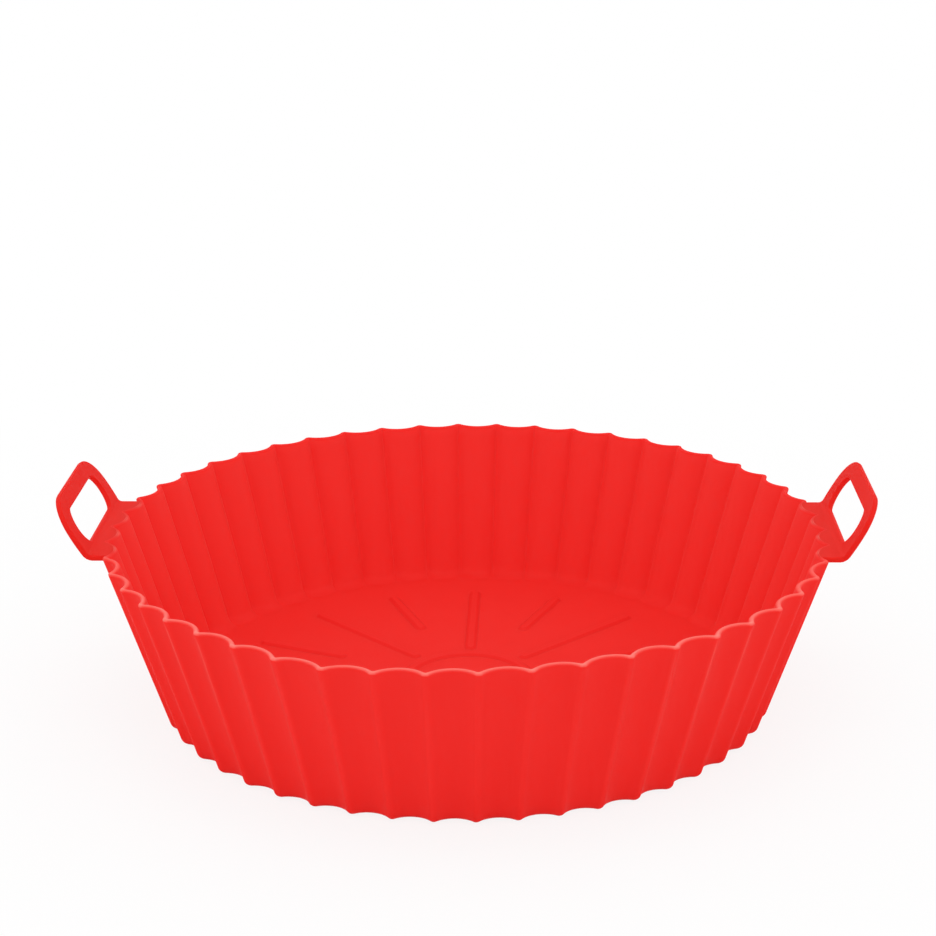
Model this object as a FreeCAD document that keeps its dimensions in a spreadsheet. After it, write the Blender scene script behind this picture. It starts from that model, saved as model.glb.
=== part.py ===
import FreeCAD, Part
import math
import os

import Sketcher

# Round air fryer liner, moulded in one piece from silicone rubber. A thin pleated wall leans out
# from a flat floor, the floor carries raised drainage ribs, and two bent ears with finger holes
# stand up from the rim. Millimetres, +Z up, origin at the centre of the underside, ears on the X axis.

SIZES = (
    ("rim_radius", 100.3, "axis to the pleats' crests, at the rim, before the lip is thinned"),
    ("wall_flare", 15.7, "how much further out the crests lie at the rim than at the underside"),
    ("liner_height", 47.0, "underside to rim"),
    ("pleat_count", 50, "pleats round the wall"),
    ("pleat_depth", 2.7, "crest to valley, at the rim"),
    ("crest_radius", 1.3, "outside rounding of a crest, at the rim"),
    ("wall_thickness", 1.5, "square to the pleated outline"),
    ("floor_thickness", 1.5, "between the ribs"),
    ("corner_bevel", 1.2, "inside corner between floor and wall"),
    ("lip_thinning", 0.3, "taken off the outside of the rim"),
    ("ear_thickness", 1.5, "bent plate of an ear"),
    ("ear_fold_gap", 0.6, "crests to the ear's fold"),
    ("ear_angle", 60.0, "degrees between the rim's plane and the ear"),
    ("ear_length", 16.8, "fold to tip, along the slope"),
    ("ear_bend_radius", 1.2, "inside of the fold"),
    ("ear_waist_width", 46.8, "widest place of the ear"),
    ("ear_waist_height", 5.2, "fold to the widest place, along the slope"),
    ("ear_side_radius", 24.5, "bowed sides of the ear"),
    ("ear_shoulder_radius", 9.8, "outer corners of the tip"),
    ("hole_start", 1.4, "fold to finger hole, along the slope"),
    ("hole_height", 10.5, "finger hole, along the slope"),
    ("hole_length", 28.4, "straight edges of the finger hole"),
    ("hole_bow", 3.0, "how far each end of the finger hole bows out"),
    ("ring_radius", 17.5, "middle line of the ring on the floor"),
    ("ring_width", 3.0, "foot of the ring"),
    ("rib_height", 0.9, "ring and ribs above the floor"),
    ("rib_width", 3.0, "foot of a radial rib"),
    ("rib_draft", 25.0, "degrees, sides of ring and ribs"),
    ("rib_count", 8, "long ribs, with as many short ones between"),
    ("long_rib_start", 21.0, "axis to the inner end"),
    ("short_rib_start", 39.0, "axis to the inner end"),
    ("rib_margin", 17.6, "outer ends of the ribs to the crests, at the underside"),
    ("sunk_depth", 0.4, "foot of ring and ribs below the floor's surface"),
)

XY, XZ, YZ = "XY_Plane", "XZ_Plane", "YZ_Plane"


def add_sheet(document):
    """Write every driving size into a sheet, one row each: name, value, meaning."""
    sheet = document.addObject("Spreadsheet::Sheet", "sizes")
    for row, (name, value, meaning) in enumerate(SIZES, start=1):
        sheet.set("A%d" % row, name)
        sheet.set("B%d" % row, str(value))
        sheet.set("C%d" % row, meaning)
        sheet.setAlias("B%d" % row, name)
    document.recompute()
    return sheet


def bind(feature, **bindings):
    """Tie properties of a feature to expressions; a double underscore stands for a dot."""
    for name, expression in bindings.items():
        feature.setExpression(name.replace("__", "."), expression)


def add_sketch(body, name, plane, **offset):
    """Put a sketch on a plane of the body's own origin, with its offset tied to expressions."""
    sketch = body.newObject("Sketcher::SketchObject", name)
    plane_object = [item for item in body.Origin.OriginFeatures if item.Role == plane][0]
    sketch.AttachmentSupport = [(plane_object, "")]
    sketch.MapMode = "FlatFace"
    for key, expression in offset.items():
        sketch.setExpression("AttachmentOffset." + key.replace("__", "."), expression)
    return sketch


def hold(sketch, name, constraint, expression):
    """Add a dimension to a sketch, name it and tie it to an expression."""
    index = sketch.addConstraint(constraint)
    sketch.renameConstraint(index, name)
    sketch.setExpression("Constraints." + name, expression)


def pleated_outline(sheet, scale, inset, rounding):
    """Give the arcs of one closed pleated outline round the axis.

    The rim's outer outline is scaled towards the axis, and its valley arcs then grow by inset.
    The rounding joins them at the crests; with a rounding of 0 they meet in a point.
    """
    half_pitch = math.pi / sheet.pleat_count
    crest = scale * sheet.crest_radius
    valley = scale * (sheet.rim_radius - sheet.pleat_depth)
    crest_centre = scale * sheet.rim_radius - crest
    cosine, sine = math.cos(half_pitch), math.sin(half_pitch)
    gap_squared = valley**2 + crest_centre**2 - 2 * valley * crest_centre * cosine
    valley_radius = (crest**2 - gap_squared) / (2 * (valley - crest_centre * cosine - crest))
    arc_centre = valley + valley_radius
    arc_radius = valley_radius + inset
    reach = arc_radius + rounding
    round_centre = arc_centre * cosine - math.sqrt(reach**2 - (arc_centre * sine) ** 2)

    arcs = []
    for pleat in range(int(sheet.pleat_count)):
        crest_angle = 2 * half_pitch * pleat
        before = polar(arc_centre, crest_angle - half_pitch)
        after = polar(arc_centre, crest_angle + half_pitch)
        middle = polar(round_centre, crest_angle)
        tip = polar(round_centre + rounding, crest_angle)
        start = before + (middle - before) * (arc_radius / reach)
        end = after + (middle - after) * (arc_radius / reach)
        next_middle = polar(round_centre, crest_angle + 2 * half_pitch)
        next_start = after + (next_middle - after) * (arc_radius / reach)
        valley_point = polar(arc_centre - arc_radius, crest_angle + half_pitch)
        if rounding > 0:
            arcs.append(Part.Arc(start, tip, end))
        arcs.append(Part.Arc(end, valley_point, next_start))
    return arcs


def polar(radius, angle):
    """Give the point at a radius and an angle in the sketch's plane."""
    return FreeCAD.Vector(radius * math.cos(angle), radius * math.sin(angle), 0)


def add_pleated_loft(document, name, levels):
    """Loft straight walls through pleated outlines, each with its height as an expression."""
    body = document.addObject("PartDesign::Body", name)
    sketches = []
    for index, (height, arcs) in enumerate(levels):
        sketch = add_sketch(body, "%s_outline_%d" % (name, index), XY, Base__z=height)
        sketch.addGeometry(arcs, False)
        sketches.append(sketch)
    loft = body.newObject("PartDesign::AdditiveLoft", name + "_loft")
    loft.Profile = sketches[0]
    loft.Sections = sketches[1:]
    loft.Ruled = True
    return body


def add_outer_form(document, sheet):
    """Make the pleated form that the underside and the outside of the wall bound."""
    base_scale = 1 - sheet.wall_flare / sheet.rim_radius
    slope = (1 - base_scale) / sheet.liner_height
    crest = sheet.crest_radius

    def outline(height, inset):
        scale = base_scale + slope * height
        return pleated_outline(sheet, scale, inset, scale * crest - inset)

    lip_foot = sheet.liner_height - sheet.ear_thickness
    return add_pleated_loft(document, "outer_form", (
        ("0 mm", outline(0, 0)),
        ("sizes.liner_height - sizes.ear_thickness", outline(lip_foot, 0)),
        ("sizes.liner_height", outline(sheet.liner_height, sheet.lip_thinning)),
    ))


def add_cavity_form(document, sheet):
    """Make the pleated form that is hollowed out, from the floor to just above the rim."""
    base_scale = 1 - sheet.wall_flare / sheet.rim_radius
    slope = (1 - base_scale) / sheet.liner_height
    outer_valley = sheet.rim_radius - sheet.pleat_depth
    inner_valley = outer_valley - sheet.wall_thickness

    def outline(height, growth):
        outer_scale = base_scale + slope * height
        scale = (outer_scale * outer_valley - sheet.wall_thickness) / inner_valley
        return pleated_outline(sheet, scale, scale * sheet.wall_thickness - growth, 0)

    floor, corner, rim = sheet.floor_thickness, sheet.corner_bevel, sheet.liner_height
    return add_pleated_loft(document, "cavity_form", (
        ("sizes.floor_thickness", outline(floor, -corner)),
        ("sizes.floor_thickness + sizes.corner_bevel", outline(floor + corner, 0)),
        ("sizes.liner_height", outline(rim, 0)),
        ("sizes.liner_height + sizes.wall_thickness", outline(rim, 0)),
    ))


def add_ear_strip(document, sheet):
    """Make the bent strip of an ear: a ledge level with the rim, folded up and outwards."""
    body = document.addObject("PartDesign::Body", "ear_strip")
    sketch = add_sketch(body, "ear_section", XZ)
    thick, angle = sheet.ear_thickness, math.radians(sheet.ear_angle)
    half_width = sheet.ear_waist_width / 2
    outer_valley = sheet.rim_radius - sheet.pleat_depth
    root = math.sqrt(outer_valley**2 - half_width**2) - sheet.wall_thickness
    fold, top = sheet.rim_radius + sheet.ear_fold_gap, sheet.liner_height
    along = FreeCAD.Vector(math.cos(angle), math.sin(angle), 0)
    across = FreeCAD.Vector(math.sin(angle), -math.cos(angle), 0)
    corners = [FreeCAD.Vector(root, top, 0), FreeCAD.Vector(fold, top, 0)]
    corners.append(corners[1] + along * sheet.ear_length)
    corners.append(corners[2] + across * thick)
    corners.append(FreeCAD.Vector(fold + thick * math.tan(angle / 2), top - thick, 0))
    corners.append(FreeCAD.Vector(root, top - thick, 0))
    ledge_top, inner_slope, tip, outer_slope, ledge_under, root_end = range(6)
    add_closed_lines(sketch, corners)
    sketch.addConstraint([
        Sketcher.Constraint("Horizontal", ledge_top),
        Sketcher.Constraint("Horizontal", ledge_under),
        Sketcher.Constraint("Vertical", root_end),
        Sketcher.Constraint("Parallel", inner_slope, outer_slope),
        Sketcher.Constraint("Perpendicular", inner_slope, tip),
    ])
    hold(sketch, "fold", Sketcher.Constraint("DistanceX", -1, 1, inner_slope, 1, fold),
         "sizes.rim_radius + sizes.ear_fold_gap")
    hold(sketch, "top", Sketcher.Constraint("DistanceY", -1, 1, inner_slope, 1, top),
         "sizes.liner_height")
    hold(sketch, "root", Sketcher.Constraint("DistanceX", -1, 1, ledge_top, 1, root),
         "sqrt((sizes.rim_radius - sizes.pleat_depth)^2 - (sizes.ear_waist_width / 2)^2)"
         " - sizes.wall_thickness")
    hold(sketch, "slope", Sketcher.Constraint("Angle", inner_slope, angle), "sizes.ear_angle * 1 deg")
    hold(sketch, "length", Sketcher.Constraint("Distance", inner_slope, sheet.ear_length),
         "sizes.ear_length")
    hold(sketch, "ledge_thickness", Sketcher.Constraint("Distance", root_end, thick),
         "sizes.ear_thickness")
    hold(sketch, "slope_thickness", Sketcher.Constraint("Distance", tip, thick),
         "sizes.ear_thickness")

    pad = body.newObject("PartDesign::Pad", "ear_strip_pad")
    pad.Profile = sketch
    pad.SideType = "Symmetric"
    bind(pad, Length="sizes.ear_waist_width + 2 * sizes.ear_thickness")
    document.recompute()
    bends = (("inner_bend", corners[1], "sizes.ear_bend_radius"),
             ("outer_bend", corners[4], "sizes.ear_bend_radius + sizes.ear_thickness"))
    feature = pad
    for name, corner, radius in bends:
        base = feature
        feature = body.newObject("PartDesign::Fillet", name)
        feature.Base = (base, edges_near(base.Shape, FreeCAD.Vector(corner.x, 0, corner.y)))
        bind(feature, Radius=radius)
        document.recompute()
    return body


def add_closed_lines(sketch, corners):
    """Draw straight edges through the corners, joined end to end, back to the first."""
    count = len(corners)
    for index in range(count):
        line = Part.LineSegment(corners[index], corners[(index + 1) % count])
        sketch.addGeometry(line, False)
    joins = [(index, (index + 1) % count) for index in range(count)]
    join_ends(sketch, joins)


def join_ends(sketch, joins):
    """Join the end of one edge to the start of another, for each pair."""
    for first, second in joins:
        sketch.addConstraint(Sketcher.Constraint("Coincident", first, 2, second, 1))


def edges_near(shape, point, tolerance=0.01):
    """Name the edges that pass through a point."""
    vertex = Part.Vertex(point)
    names = []
    for index, edge in enumerate(shape.Edges, start=1):
        if edge.distToShape(vertex)[0] < tolerance:
            names.append("Edge%d" % index)
    return names


def add_ear_plate(document, sheet):
    """Make the ear's front outline with its finger hole, as a thick block square to the slope."""
    body = document.addObject("PartDesign::Body", "ear_plate")
    sketch = add_sketch(
        body, "ear_half_outline", YZ,
        Base__y="sizes.liner_height",
        Base__z="sizes.rim_radius + sizes.ear_fold_gap",
        Rotation__Axis__x="1", Rotation__Axis__y="0", Rotation__Axis__z="0",
        Rotation__Angle="(90 - sizes.ear_angle) * 1 deg")

    side_radius, shoulder = sheet.ear_side_radius, sheet.ear_shoulder_radius
    waist, length, below = sheet.ear_waist_height, sheet.ear_length, sheet.ear_length
    side_centre = FreeCAD.Vector(sheet.ear_waist_width / 2 - side_radius, waist, 0)
    rise = length - shoulder - waist
    shoulder_centre = FreeCAD.Vector(
        side_centre.x + math.sqrt((side_radius - shoulder)**2 - rise**2), length - shoulder, 0)
    root_angle = -math.asin(waist / side_radius)
    meet_angle = math.asin(rise / (side_radius - shoulder))
    half_root = side_centre.x + side_radius * math.cos(root_angle)

    bottom, crown = sheet.hole_start, sheet.hole_start + sheet.hole_height
    half_height = sheet.hole_height / 2
    half_hole = sheet.hole_length / 2
    bow = sheet.hole_bow
    bow_radius = (half_height**2 + bow**2) / (2 * bow)
    bow_centre = FreeCAD.Vector(half_hole + bow - bow_radius, bottom + half_height, 0)
    bow_angle = math.asin(half_height / bow_radius)

    def line(start_x, start_y, end_x, end_y):
        return Part.LineSegment(FreeCAD.Vector(start_x, start_y, 0), FreeCAD.Vector(end_x, end_y, 0))

    def arc(centre, radius, start, end):
        return Part.ArcOfCircle(Part.Circle(centre, FreeCAD.Vector(0, 0, 1), radius), start, end)

    (base, root, side, corner, tip,
     upper_middle, hole_top, hole_end, hole_bottom, lower_middle) = range(10)
    sketch.addGeometry([
        line(0, -below, half_root, -below),
        line(half_root, -below, half_root, 0),
        arc(side_centre, side_radius, root_angle, meet_angle),
        arc(shoulder_centre, shoulder, meet_angle, math.pi / 2),
        line(shoulder_centre.x, length, 0, length),
        line(0, length, 0, crown),
        line(0, crown, half_hole, crown),
        arc(bow_centre, bow_radius, -bow_angle, bow_angle),
        line(half_hole, bottom, 0, bottom),
        line(0, bottom, 0, -below),
    ], False)
    join_ends(sketch, ((base, root), (root, side), (tip, upper_middle), (upper_middle, hole_top),
                       (hole_bottom, lower_middle), (lower_middle, base)))
    sketch.addConstraint([
        Sketcher.Constraint("Tangent", side, 2, corner, 1),
        Sketcher.Constraint("Tangent", corner, 2, tip, 1),
        Sketcher.Constraint("Coincident", hole_top, 2, hole_end, 2),
        Sketcher.Constraint("Coincident", hole_end, 1, hole_bottom, 1),
        Sketcher.Constraint("Horizontal", base),
        Sketcher.Constraint("Vertical", root),
        Sketcher.Constraint("Horizontal", tip),
        Sketcher.Constraint("Horizontal", hole_top),
        Sketcher.Constraint("Horizontal", hole_bottom),
        Sketcher.Constraint("Vertical", hole_end, 1, hole_end, 2),
        Sketcher.Constraint("PointOnObject", root, 2, -1),
        Sketcher.Constraint("PointOnObject", base, 1, -2),
        Sketcher.Constraint("PointOnObject", tip, 2, -2),
        Sketcher.Constraint("PointOnObject", hole_top, 1, -2),
        Sketcher.Constraint("PointOnObject", hole_bottom, 2, -2),
    ])
    hold(sketch, "below", Sketcher.Constraint("DistanceY", base, 1, -1, 1, below), "sizes.ear_length")
    hold(sketch, "side_radius", Sketcher.Constraint("Radius", side, side_radius),
         "sizes.ear_side_radius")
    hold(sketch, "side_centre", Sketcher.Constraint("DistanceX", side, 3, -1, 1, -side_centre.x),
         "sizes.ear_side_radius - sizes.ear_waist_width / 2")
    hold(sketch, "waist_height", Sketcher.Constraint("DistanceY", -1, 1, side, 3, waist),
         "sizes.ear_waist_height")
    hold(sketch, "shoulder_radius", Sketcher.Constraint("Radius", corner, shoulder),
         "sizes.ear_shoulder_radius")
    hold(sketch, "length", Sketcher.Constraint("DistanceY", -1, 1, tip, 1, length),
         "sizes.ear_length")
    hold(sketch, "hole_start", Sketcher.Constraint("DistanceY", -1, 1, hole_bottom, 2, bottom),
         "sizes.hole_start")
    hold(sketch, "hole_height", Sketcher.Constraint("DistanceY", hole_end, 1, hole_end, 2,
                                                    sheet.hole_height), "sizes.hole_height")
    hold(sketch, "half_hole", Sketcher.Constraint("DistanceX", -1, 1, hole_end, 1, half_hole),
         "sizes.hole_length / 2")
    hold(sketch, "bow_radius", Sketcher.Constraint("Radius", hole_end, bow_radius),
         "((sizes.hole_height / 2)^2 + sizes.hole_bow^2) / (2 * sizes.hole_bow)")

    pad = body.newObject("PartDesign::Pad", "ear_plate_pad")
    pad.Profile = sketch
    pad.SideType = "Symmetric"
    bind(pad, Length="2 * sizes.ear_length")
    mirrored = body.newObject("PartDesign::Mirrored", "ear_plate_mirrored")
    mirrored.Originals = [pad]
    mirrored.MirrorPlane = ([item for item in body.Origin.OriginFeatures if item.Role == XZ][0], [""])
    body.Tip = mirrored
    return body


def add_floor_ring(document, sheet):
    """Make the low ring round the middle of the floor, with sloping sides."""
    body = document.addObject("PartDesign::Body", "floor_ring")
    sketch = add_sketch(body, "ring_section", XZ, Base__y="sizes.floor_thickness - sizes.sunk_depth")
    height = sheet.sunk_depth + sheet.rib_height
    half_width = sheet.ring_width / 2
    draft = height * math.tan(math.radians(sheet.rib_draft))
    middle = sheet.ring_radius
    add_closed_lines(sketch, [
        FreeCAD.Vector(middle - half_width, 0, 0),
        FreeCAD.Vector(middle + half_width, 0, 0),
        FreeCAD.Vector(middle + half_width - draft, height, 0),
        FreeCAD.Vector(middle - half_width + draft, height, 0),
    ])
    foot, outer_side, crown, inner_side = range(4)
    sketch.addConstraint([
        Sketcher.Constraint("PointOnObject", foot, 1, -1),
        Sketcher.Constraint("Horizontal", foot),
        Sketcher.Constraint("Horizontal", crown),
        Sketcher.Constraint("Equal", outer_side, inner_side),
    ])
    hold(sketch, "inner_foot", Sketcher.Constraint("DistanceX", -1, 1, foot, 1, middle - half_width),
         "sizes.ring_radius - sizes.ring_width / 2")
    hold(sketch, "width", Sketcher.Constraint("DistanceX", foot, 1, foot, 2, 2 * half_width),
         "sizes.ring_width")
    hold(sketch, "height", Sketcher.Constraint("DistanceY", foot, 2, crown, 1, height),
         "sizes.sunk_depth + sizes.rib_height")
    hold(sketch, "draft", Sketcher.Constraint("DistanceX", crown, 1, foot, 2, draft),
         "(sizes.sunk_depth + sizes.rib_height) * tan(sizes.rib_draft * 1 deg)")
    turn = body.newObject("PartDesign::Revolution", "ring_turned")
    turn.Profile = sketch
    turn.ReferenceAxis = (sketch, ["V_Axis"])
    turn.Angle = 360
    return body


def add_ribs(document, sheet, name, start, turn):
    """Make a star of low radial ribs on the floor, with sloping sides and ends."""
    body = document.addObject("PartDesign::Body", name)
    sketch = add_sketch(
        body, name + "_outline", XY,
        Base__z="sizes.floor_thickness - sizes.sunk_depth",
        Rotation__Axis__x="0", Rotation__Axis__y="0", Rotation__Axis__z="1", Rotation__Angle=turn)
    half_width = sheet.rib_width / 2
    inner, outer = sheet.get(start), sheet.rim_radius - sheet.wall_flare - sheet.rib_margin
    add_closed_lines(sketch, [
        FreeCAD.Vector(inner, -half_width, 0),
        FreeCAD.Vector(outer, -half_width, 0),
        FreeCAD.Vector(outer, half_width, 0),
        FreeCAD.Vector(inner, half_width, 0),
    ])
    right_side, far_end, left_side, near_end = range(4)
    sketch.addConstraint([
        Sketcher.Constraint("Horizontal", right_side),
        Sketcher.Constraint("Horizontal", left_side),
        Sketcher.Constraint("Vertical", near_end),
        Sketcher.Constraint("Symmetric", far_end, 1, far_end, 2, -1),
    ])
    hold(sketch, "near", Sketcher.Constraint("DistanceX", -1, 1, near_end, 1, inner), "sizes." + start)
    hold(sketch, "far", Sketcher.Constraint("DistanceX", -1, 1, far_end, 1, outer),
         "sizes.rim_radius - sizes.wall_flare - sizes.rib_margin")
    hold(sketch, "width", Sketcher.Constraint("Distance", near_end, 2 * half_width),
         "sizes.rib_width")
    pad = body.newObject("PartDesign::Pad", name + "_pad")
    pad.Profile = sketch
    bind(pad, Length="sizes.sunk_depth + sizes.rib_height", TaperAngle="-sizes.rib_draft * 1 deg")
    pattern = body.newObject("PartDesign::PolarPattern", name + "_pattern")
    pattern.Originals = [pad]
    pattern.Axis = ([item for item in body.Origin.OriginFeatures if item.Role == "Z_Axis"][0], [""])
    pattern.Angle = 360
    bind(pattern, Occurrences="sizes.rib_count")
    body.Tip = pattern
    return body


def add_ear(document, sheet):
    """Cut the bent strip to the ear's front outline."""
    ear = document.addObject("Part::Common", "ear")
    ear.Base = add_ear_strip(document, sheet)
    ear.Tool = add_ear_plate(document, sheet)
    return ear


def add_liner(document, sheet):
    """Join wall and ears, hollow them out, then add the floor's ring and ribs."""
    outer_form = add_outer_form(document, sheet)
    ear = add_ear(document, sheet)
    opposite_ear = document.addObject("Part::Mirroring", "opposite_ear")
    opposite_ear.Source = ear
    opposite_ear.Normal = (1, 0, 0)
    eared_form = document.addObject("Part::MultiFuse", "eared_form")
    eared_form.Shapes = [outer_form, ear, opposite_ear]
    bowl = document.addObject("Part::Cut", "bowl")
    bowl.Base, bowl.Tool = eared_form, add_cavity_form(document, sheet)
    liner = document.addObject("Part::MultiFuse", "liner")
    liner.Shapes = [
        bowl,
        add_floor_ring(document, sheet),
        add_ribs(document, sheet, "long_ribs", "long_rib_start", "0 deg"),
        add_ribs(document, sheet, "short_ribs", "short_rib_start", "180 deg / sizes.rib_count"),
    ]
    liner.Label = "liner"
    document.recompute()
    return liner


def check(document, liner):
    """Stop if a feature failed or the liner isn't one valid solid."""
    failed = [item.Name for item in document.Objects
              if "Invalid" in item.State or "Error" in item.State]
    if failed:
        raise RuntimeError("features that failed: " + ", ".join(failed))
    shape = liner.Shape
    if shape.isNull() or not shape.isValid() or len(shape.Solids) != 1:
        raise RuntimeError("the liner is not one valid solid")


def main():
    """Build the liner and write it out."""
    document = FreeCAD.newDocument("air_fryer_liner")
    sheet = add_sheet(document)
    liner = add_liner(document, sheet)
    check(document, liner)
    os.makedirs("parts", exist_ok=True)
    liner.Shape.exportStep(os.path.join("parts", liner.Label + ".step"))


main()
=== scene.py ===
"""Visual model of a round air fryer liner, moulded in one piece from red silicone rubber.

The pleated bowl, the raised ring and ribs on its floor, and the two ears with finger holes are
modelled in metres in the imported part's own frame: origin at the centre of the underside, +Z up,
the ears on the X axis.
"""

import logging
import math
from dataclasses import dataclass, field
from enum import Enum

import bmesh
import bpy
from mathutils import Matrix, Vector

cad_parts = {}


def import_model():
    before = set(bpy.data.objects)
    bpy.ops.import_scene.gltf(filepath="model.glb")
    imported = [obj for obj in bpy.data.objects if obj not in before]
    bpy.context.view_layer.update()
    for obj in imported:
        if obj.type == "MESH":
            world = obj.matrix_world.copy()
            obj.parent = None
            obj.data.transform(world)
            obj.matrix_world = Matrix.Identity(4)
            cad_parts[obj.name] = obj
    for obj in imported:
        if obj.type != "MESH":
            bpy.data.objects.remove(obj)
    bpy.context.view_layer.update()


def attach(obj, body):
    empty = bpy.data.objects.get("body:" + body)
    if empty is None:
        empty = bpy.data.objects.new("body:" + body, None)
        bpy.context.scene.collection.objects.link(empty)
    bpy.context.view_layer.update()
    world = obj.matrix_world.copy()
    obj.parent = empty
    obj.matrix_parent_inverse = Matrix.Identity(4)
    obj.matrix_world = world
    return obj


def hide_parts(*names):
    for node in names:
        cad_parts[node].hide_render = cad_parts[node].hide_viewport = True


LOG = logging.getLogger("air_fryer_liner")
MM = 0.001
SAME_PLACE = 0.001 * MM
HAIR = 0.01 * MM
NODE = "liner"
BODY = "root"
# Vertex attribute with the bowl's shares of painted highlight and painted light.
PAINTED_LIGHT_MASK = "painted_light_mask"
UP = Vector((0, 0, 1))


class Side(Enum):
    """The side of the liner that an ear stands on."""

    RIGHT = 1
    LEFT = -1


def smooth_step(low: float, high: float, value: float) -> float:
    """Eases from 0 to 1 between two values.

    Args:
        low: the value at and below which the result is 0.
        high: the value at and above which the result is 1.
        value: the value to ease.

    Returns:
        A number from 0 to 1.
    """
    share = min(1.0, max(0.0, (value - low) / (high - low)))
    return share * share * (3 - 2 * share)


def bell(value: float, middle: float, width: float) -> float:
    """Gives a bell curve of height 1.

    Args:
        value: where the curve is read.
        middle: where it peaks.
        width: the distance from the middle at which it has fallen to 0.37.

    Returns:
        A number from 0 to 1.
    """
    return math.exp(-(((value - middle) / width) ** 2))


def finished_object(name: str, mesh_form: bmesh.types.BMesh,
                    finish: bpy.types.Material) -> bpy.types.Object:
    """Turns a finished form into a smooth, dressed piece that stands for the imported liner.

    Args:
        name: the piece's name.
        mesh_form: the form, in the row frame; it is freed here.
        finish: the material.

    Returns:
        The new object, riding on the liner's body.
    """
    mesh = bpy.data.meshes.new(name)
    mesh_form.to_mesh(mesh)
    mesh_form.free()
    mesh.polygons.foreach_set("use_smooth", [True] * len(mesh.polygons))
    mesh.materials.append(finish)
    piece = bpy.data.objects.new(name, mesh)
    bpy.context.scene.collection.objects.link(piece)
    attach(piece, BODY)
    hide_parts(NODE)
    return piece


@dataclass(frozen=True)
class Ring:
    """One level of the bowl's skin: where it lies between the outer and the inner face.

    Attributes:
        height: metres above the underside.
        inset: metres in from the wall's outer face, square to it.
        reach: share of the way from the axis to the outline; 1 on the wall.
        crown: how high it lies on the lip's round; 0 off it, 1 on its top line.
    """

    height: float
    inset: float
    reach: float = 1.0
    crown: float = 0.0


@dataclass(frozen=True)
class Pleats:
    """The closed pleated outline of the wall: wide valleys between narrow rounded crests."""

    count: int = 50
    rim_radius: float = 100.06 * MM
    base_radius: float = 84.5 * MM
    height: float = 47.0 * MM
    depth: float = 2.7 * MM
    crest_radius: float = 1.5 * MM
    root_radius: float = 0.35 * MM
    least_rounding: float = 0.035 * MM
    wall: float = 1.45 * MM
    crest_steps: int = 8
    valley_steps: int = 12

    @property
    def steps(self) -> int:
        """Number of points in one pleat's outline."""
        return self.crest_steps + self.valley_steps

    @property
    def points_round(self) -> int:
        """Number of points in one outline."""
        return self.count * self.steps

    def off_crest(self, index: int) -> float:
        """Gives how far a point of the outline is from its crest: 0 there, 1 in mid valley."""
        along = (index - self.crest_steps / 2) % self.steps
        return 2 * min(along, self.steps - along) / self.steps

    def scale_at(self, height: float) -> float:
        """Gives the outline's size at a height, as a share of its size at the rim."""
        base = self.base_radius / self.rim_radius
        return base + (1 - base) * height / self.height

    def outline(self, height: float, inset: float) -> list[Vector]:
        """Gives the outline's points at one height, from the crest on +X round to it again.

        Args:
            height: metres above the underside.
            inset: metres in from the wall's outer face.

        Returns:
            The points, evenly stepped along each crest and along each valley.
        """
        scale = self.scale_at(height)
        half_pitch = math.pi / self.count
        crest = scale * self.crest_radius
        valley = scale * (self.rim_radius - self.depth)
        crest_centre = scale * self.rim_radius - crest
        cosine, sine = math.cos(half_pitch), math.sin(half_pitch)
        gap_squared = valley**2 + crest_centre**2 - 2 * valley * crest_centre * cosine
        valley_radius = (crest**2 - gap_squared) / (2 * (valley - crest_centre * cosine - crest))
        arc_centre = valley + valley_radius
        arc_radius = valley_radius + inset
        rounding = max(self.least_rounding,
                       crest - inset * (crest - self.root_radius) / self.wall)
        reach = arc_radius + rounding
        round_centre = arc_centre * cosine - math.sqrt(reach**2 - (arc_centre * sine) ** 2)
        valley_turn = math.asin(round_centre * sine / reach)
        crest_turn = valley_turn + half_pitch

        points = []
        for pleat in range(self.count):
            crest_angle = 2 * half_pitch * pleat
            middle = polar(round_centre, crest_angle)
            for step in range(self.crest_steps):
                turn = crest_turn * (2 * step / self.crest_steps - 1)
                points.append(middle + polar(rounding, crest_angle + turn))
            valley_angle = crest_angle + half_pitch
            middle = polar(arc_centre, valley_angle)
            for step in range(self.valley_steps):
                turn = valley_turn * (1 - 2 * step / self.valley_steps)
                points.append(middle - polar(arc_radius, valley_angle + turn))
        for point in points:
            point.z = height
        return points


def polar(radius: float, angle: float) -> Vector:
    """Gives the point at a radius and an angle in the XY plane."""
    return Vector((radius * math.cos(angle), radius * math.sin(angle), 0))


@dataclass(frozen=True)
class Slump:
    """How the soft wall has settled: the front dips and leans out, beside it the wall leans in.

    The foot has shifted a little to the front left. Azimuths are degrees from the front, -Y,
    positive towards +X.
    """

    lean: float = 1.45 * MM
    lean_azimuth: float = -20.0
    lean_width: float = 9.4
    dip: float = 0.5 * MM
    dip_azimuth: float = -8.0
    dip_width: float = 14.0
    pull: float = 0.6 * MM
    pull_azimuth: float = 27.0
    pull_width: float = 8.0
    slope: float = math.radians(18.4)
    foot_shift: Vector = field(default_factory=lambda: Vector((-0.3, -1.1, 0)) * MM)

    def move(self, point: Vector, full_height: float) -> Vector:
        """Gives the place of a point of the wall after the wall has settled.

        Args:
            point: a point of the true form.
            full_height: the wall's height, where the movement is largest.

        Returns:
            The settled point.
        """
        azimuth = math.degrees(math.atan2(point.x, -point.y))
        height_share = max(0.0, point.z) / full_height
        share = height_share**2
        lean = self.lean * bell(azimuth, self.lean_azimuth, self.lean_width)
        lean -= self.pull * bell(azimuth, self.pull_azimuth, self.pull_width)
        dip = self.dip * bell(azimuth, self.dip_azimuth, self.dip_width)
        outward = Vector((point.x, point.y, 0)).normalized()
        shift = outward * math.cos(self.slope) * lean - UP * (math.sin(self.slope) * lean + dip)
        return point + shift * share + self.foot_shift * (1 - height_share)


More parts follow.
